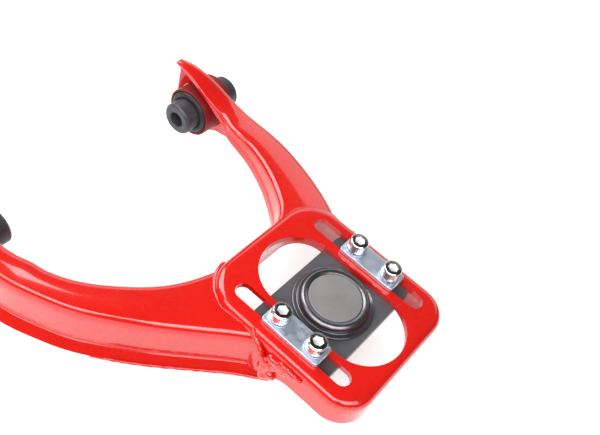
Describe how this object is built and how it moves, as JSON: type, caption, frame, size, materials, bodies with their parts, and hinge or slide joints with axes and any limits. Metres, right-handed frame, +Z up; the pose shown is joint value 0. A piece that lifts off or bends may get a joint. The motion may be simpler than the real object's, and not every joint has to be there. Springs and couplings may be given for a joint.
{
  "type": "suspension control arm",
  "caption": "Forked upper control arm of pressed steel, with rubber bushes on one pivot axis and a ball joint on a plate that slides in slots to set camber.",
  "frame": {"origin": "on the pivot axis through both bushes, midway between them", "axes": "+X outboard to the ball joint, square to the pivot axis; +Y along the pivot axis to the short leg's bush; +Z up, away from the stud"},
  "size_m": [0.274, 0.271, 0.0816],
  "materials": {
    "arm_paint": "glossy red powder coat on pressed steel",
    "bush_sleeve": "bare grey steel dusted with red overspray",
    "bush_rubber": "matte black rubber",
    "black_steel": "satin black coated steel",
    "joint_steel": "grey phosphated steel",
    "cover_steel": "dull warm-grey pressed steel",
    "seat_nylon": "natural nylon",
    "zinc": "bright zinc plate with a blue cast",
    "screw_chrome": "bright plated steel",
    "boot_rubber": "black moulded rubber with a soft sheen",
    "ring_brass": "yellow-passivated wire",
    "nut_steel": "dull grey plated steel"
  },
  "bodies": {
    "arm": {"head_pan": "arm_paint", "short_leg_shell": "arm_paint", "long_leg_shell": "arm_paint", "long_leg_bottom_plate": "arm_paint", "long_leg_weld_bead": "arm_paint", "short_leg_weld_bead": "arm_paint", "short_leg_bush_weld": "arm_paint", "long_leg_bush_weld": "arm_paint", "short_leg_bush_outer_sleeve": "bush_sleeve", "long_leg_bush_outer_sleeve": "bush_sleeve", "short_leg_bush_rubber": "bush_rubber", "long_leg_bush_rubber": "bush_rubber"},
    "short_leg_bush_core": {"short_leg_bush_inner_sleeve": "black_steel"},
    "long_leg_bush_core": {"long_leg_bush_inner_sleeve": "black_steel"},
    "carriage": {"ball_joint_plate": "black_steel", "ball_joint_housing": "joint_steel", "ball_joint_cover": "cover_steel", "ball_seat_upper": "seat_nylon", "ball_seat_lower": "seat_nylon", "clamp_strip_long_side": "zinc", "clamp_strip_short_side": "zinc", "lock_washer_1": "zinc", "lock_washer_2": "zinc", "lock_washer_3": "zinc", "lock_washer_4": "zinc", "cap_screw_1": "screw_chrome", "cap_screw_2": "screw_chrome", "cap_screw_3": "screw_chrome", "cap_screw_4": "screw_chrome", "boot_base": "boot_rubber", "boot_base_ring": "ring_brass"},
    "stud_swing": {"boot_mouth": "boot_rubber"},
    "stud_rock": {"boot_mouth_ring": "ring_brass"},
    "stud": {"ball_stud": "joint_steel", "castle_nut": "nut_steel", "cotter_pin": "nut_steel"}
  },
  "joints": [
    {"name": "short_leg_bush_twist", "type": "hinge", "parent": "arm", "child": "short_leg_bush_core", "pos_m": [0, 0.107, 0], "axis": [0, 1, 0], "range_deg": [-25, 25], "stiffness_Nm_per_rad": 30},
    {"name": "long_leg_bush_twist", "type": "hinge", "parent": "arm", "child": "long_leg_bush_core", "pos_m": [0, -0.107, 0], "axis": [0, 1, 0], "range_deg": [-25, 25], "stiffness_Nm_per_rad": 30},
    {"name": "camber_adjust", "type": "slide", "parent": "arm", "child": "carriage", "axis": [1, 0, 0], "range_m": [-0.018, 0.015]},
    {"name": "stud_side_tilt", "type": "hinge", "parent": "carriage", "child": "stud_swing", "pos_m": [0.1915, 0.03, 0.008], "axis": [1, 0, 0], "range_deg": [-15, 15], "deforming": ["boot_base", "boot_mouth"]},
    {"name": "stud_travel_tilt", "type": "hinge", "parent": "stud_swing", "child": "stud_rock", "pos_m": [0.1915, 0.03, 0.008], "axis": [0, 1, 0], "range_deg": [-15, 15]},
    {"name": "stud_spin", "type": "hinge", "parent": "stud_rock", "child": "stud", "pos_m": [0.1915, 0.03, 0.008], "axis": [0, 0, 1], "continuous": true}
  ]
}
